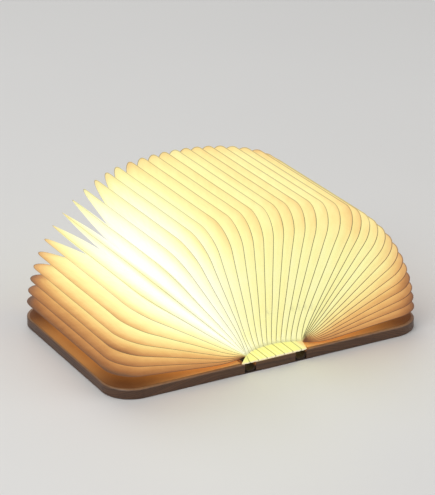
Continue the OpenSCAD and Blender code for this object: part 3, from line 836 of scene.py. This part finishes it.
def hinge_cloth():
    material, tree, shader = new_material("hinge_cloth")
    weave = use_group(tree, WEAVE, {"Place": tree.nodes.new("ShaderNodeUVMap").outputs[0],
        "Thread": 0.45 * MM})
    feed(tree, shader.inputs["Base Color"], mix_colour(tree, weave.outputs["Thread Mask"],
        CLOTH_SHADOW, CLOTH_THREAD))
    shader.inputs["Roughness"].default_value = 0.85
    shader.inputs["Sheen Weight"].default_value = 0.2
    bump(tree, shader, weave.outputs["Height"], 0.12 * MM)
    return material


def make_materials():
    """Every material by the name of its slot."""
    plastic = dict(low=0.35, high=0.5, scale=2500.0)
    metal = dict(low=0.22, high=0.4, scale=1800.0, metallic=1.0)
    return {
        "walnut": walnut(),
        "page_paper": page_paper(),
        "hinge_cloth": hinge_cloth(),
        "card": binding_card(),
        "end_paper": end_paper(),
        "gap_lining": gap_lining(),
        "white_plastic": speckled("white_plastic", (0.88, 0.88, 0.86), (0.82, 0.82, 0.79),
            **plastic),
        "opal_plastic": speckled("opal_plastic", (1.0, 0.93, 0.66), (0.97, 0.87, 0.55), glow=0.9,
            coat=0.2, **plastic),
        "board_white": speckled("board_white", (0.90, 0.90, 0.88), (0.82, 0.83, 0.80), coat=0.4,
            **plastic),
        "led": speckled("led", (1.0, 0.86, 0.38), (0.98, 0.76, 0.26), glow=1.0, **plastic),
        "cell_foil": speckled("cell_foil", (0.75, 0.76, 0.78), (0.66, 0.67, 0.70), **metal),
        "foam_pad": speckled("foam_pad", (0.20, 0.20, 0.21), (0.13, 0.13, 0.14), 0.85, 0.98, 5000.0,
            depth=0.08),
        "board_green": speckled("board_green", (0.05, 0.26, 0.12), (0.03, 0.19, 0.08), coat=0.5,
            **plastic),
        "chip_black": speckled("chip_black", (0.035, 0.035, 0.037), (0.02, 0.02, 0.02), **plastic),
        "charge_light": speckled("charge_light", (0.80, 0.10, 0.08), (0.62, 0.05, 0.04), coat=0.8,
            **plastic),
        "socket_steel": speckled("socket_steel", (0.72, 0.72, 0.74), (0.60, 0.60, 0.62), **metal),
        "wire_red": speckled("wire_red", (0.60, 0.06, 0.05), (0.48, 0.04, 0.03), **plastic),
        "wire_black": speckled("wire_black", (0.04, 0.04, 0.04), (0.025, 0.025, 0.025), **plastic),
        "screw_steel": speckled("screw_steel", (0.62, 0.62, 0.64), (0.50, 0.50, 0.53), **metal),
        "magnet": speckled("magnet", (0.70, 0.70, 0.72), (0.60, 0.60, 0.63), **metal),
    }


# ---------------------------------------------------------------- the hinges

def make_strip(side, name, profile, wall, material):
    """Thin strip along the spine that spans the gap between spine and cover. Its UV map runs over
    the strip's own width and along the spine, in metres."""
    rows = [Vector((side * x, 0, z)) for x, z in profile]
    run = [0.0]
    for near, far in zip(rows, rows[1:]):
        run.append(run[-1] + (far - near).length)
    count = STEPS_ALONG_SPINE + 1
    corners = [(row.x, (2 * j / STEPS_ALONG_SPINE - 1) * FOOT_END, row.z)
        for row in rows for j in range(count)]
    faces = [(i * count + j, (i + 1) * count + j, (i + 1) * count + j + 1, i * count + j + 1)
        for i in range(len(rows) - 1) for j in range(STEPS_ALONG_SPINE)]
    if side < 0:
        faces = [face[::-1] for face in faces]
    mesh = bpy.data.meshes.new(name)
    mesh.from_pydata(corners, [], faces)
    weave = mesh.uv_layers.new(name="weave")
    for loop in mesh.loops:
        corner = loop.vertex_index
        weave.data[loop.index].uv = run[corner // count], corners[corner][1]
    mesh.shade_smooth()
    mesh.materials.append(material)
    piece = bpy.data.objects.new(name, mesh)
    bpy.context.scene.collection.objects.link(piece)
    solid = piece.modifiers.new("thickness", "SOLIDIFY")
    solid.thickness, solid.offset, solid.use_even_offset = wall, -1, True
    keep_result(piece)
    cover_on(side)
    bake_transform(piece)
    return piece


def make_hinge_cloth(side, name, cloth):
    """Woven strip glued under the spine board and a cover, free over the gap between them."""
    inner, outer = SPINE_HALF_WIDTH - CLOTH_OVERLAP, COVER_INNER_X + CLOTH_OVERLAP
    profile = [(inner + (outer - inner) * i / CLOTH_STEPS, CLOTH_TOP)
        for i in range(CLOTH_STEPS + 1)]
    piece = make_strip(side, name, profile, CLOTH_TOP - CLOTH_BOTTOM, cloth)
    word = "left" if side < 0 else "right"
    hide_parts(f"{word}_hinge_cloth")


def make_gap_lining(side, name, paper):
    """Paper tucked into the gap, from the spine's edge down to the cloth and up to the end paper,
    with upright sides and a rounded bottom."""
    middle, half = SPINE_HALF_WIDTH + HINGE_GAP / 2, HINGE_GAP / 2 - LINING_CLEARANCE
    over_spine, over_cover = COVER_THICKNESS + LINING_WALL, END_PAPER_TOP + LINING_WALL
    profile = [(SPINE_HALF_WIDTH - LINING_ON_SPINE, over_spine)]
    for i in range(LINING_STEPS + 1):
        across = -math.cos(math.pi * i / LINING_STEPS)
        top = over_spine + (over_cover - over_spine) * (across + 1) / 2
        profile.append((middle + half * across,
            top - LINING_DEPTH * (1 - abs(across) ** 5) ** 0.6))
    profile.append((COVER_INNER_X + LINING_ON_COVER, over_cover))
    make_strip(side, name, profile, LINING_WALL, paper)


# ---------------------------------------------------------------- floor, light and camera

CAMERA_TARGET = Vector((10.46, 22.23, 35.35)) * MM
CAMERA_DISTANCE = 1371.7 * MM
CAMERA_AZIMUTH, CAMERA_ELEVATION = math.radians(-28.774), math.radians(23.047)
CAMERA_LENS = 180.53
FLOOR_HALF_WIDTH = 12.0

# Name, azimuth and elevation in degrees, distance and size in metres, power in watts
STUDIO_LIGHTS = (("key", -70, 50, 1.6, 1.2, 11.0), ("fill", 50, 35, 1.8, 1.4, 6.0),
    ("back", 170, 55, 1.7, 1.2, 6.0))


def toward(azimuth, elevation):
    """The way from the lamp to something at that azimuth from the front and that elevation."""
    level = math.cos(elevation)
    return Vector((math.sin(azimuth) * level, -math.cos(azimuth) * level, math.sin(elevation)))


def make_camera():
    data = bpy.data.cameras.new("camera")
    data.sensor_width, data.lens = 36.0, CAMERA_LENS
    data.clip_start, data.clip_end = 0.05, 50.0
    camera = bpy.data.objects.new("camera", data)
    bpy.context.scene.collection.objects.link(camera)
    back = toward(CAMERA_AZIMUTH, CAMERA_ELEVATION)
    camera.location = CAMERA_TARGET + back * CAMERA_DISTANCE
    camera.rotation_euler = (-back).to_track_quat("-Z", "Y").to_euler()
    bpy.context.scene.camera = camera


def make_floor():
    material, tree, shader = new_material("floor")
    tone = noise(tree, object_place(tree), 3.0, 3.0)
    feed(tree, shader.inputs["Base Color"], mix_colour(tree, tone, (0.70, 0.69, 0.67, 1),
        (0.74, 0.73, 0.71, 1)))
    shader.inputs["Roughness"].default_value = 0.55
    mesh = bpy.data.meshes.new("floor")
    half = FLOOR_HALF_WIDTH
    mesh.from_pydata([(-half, -half, 0), (half, -half, 0), (half, half, 0), (-half, half, 0)], [],
        [(0, 1, 2, 3)])
    mesh.materials.append(material)
    floor = bpy.data.objects.new("floor", mesh)
    bpy.context.scene.collection.objects.link(floor)


def make_lights():
    for name, azimuth, elevation, distance, size, power in STUDIO_LIGHTS:
        data = bpy.data.lights.new(name, "AREA")
        data.shape, data.size, data.energy = "DISK", size, power
        lamp = bpy.data.objects.new(name, data)
        bpy.context.scene.collection.objects.link(lamp)
        back = toward(math.radians(azimuth), math.radians(elevation))
        lamp.location = back * distance
        lamp.rotation_euler = (-back).to_track_quat("-Z", "Y").to_euler()
    world = bpy.data.worlds.new("studio")
    bpy.context.scene.world = world
    world.use_nodes = True
    background = world.node_tree.nodes["Background"]
    background.inputs["Color"].default_value = (0.97, 0.98, 1.0, 1)
    background.inputs["Strength"].default_value = 0.42


# ---------------------------------------------------------------- putting it together

materials = make_materials()
for part in frame["record"]["subparts"]:
    node = nodes[part["node"]]
    node.data.materials.clear()
    node.data.materials.append(materials[part["material_slot"]])

make_camera()
make_pages(materials["page_paper"])
for side, word in ((-1, "left"), (1, "right")):
    make_hinge_cloth(side, f"{word}_hinge", materials["hinge_cloth"])
    make_gap_lining(side, f"{word}_gap_lining", materials["gap_lining"])
make_floor()
make_lights()
bpy.context.scene.view_settings.view_transform = "Standard"
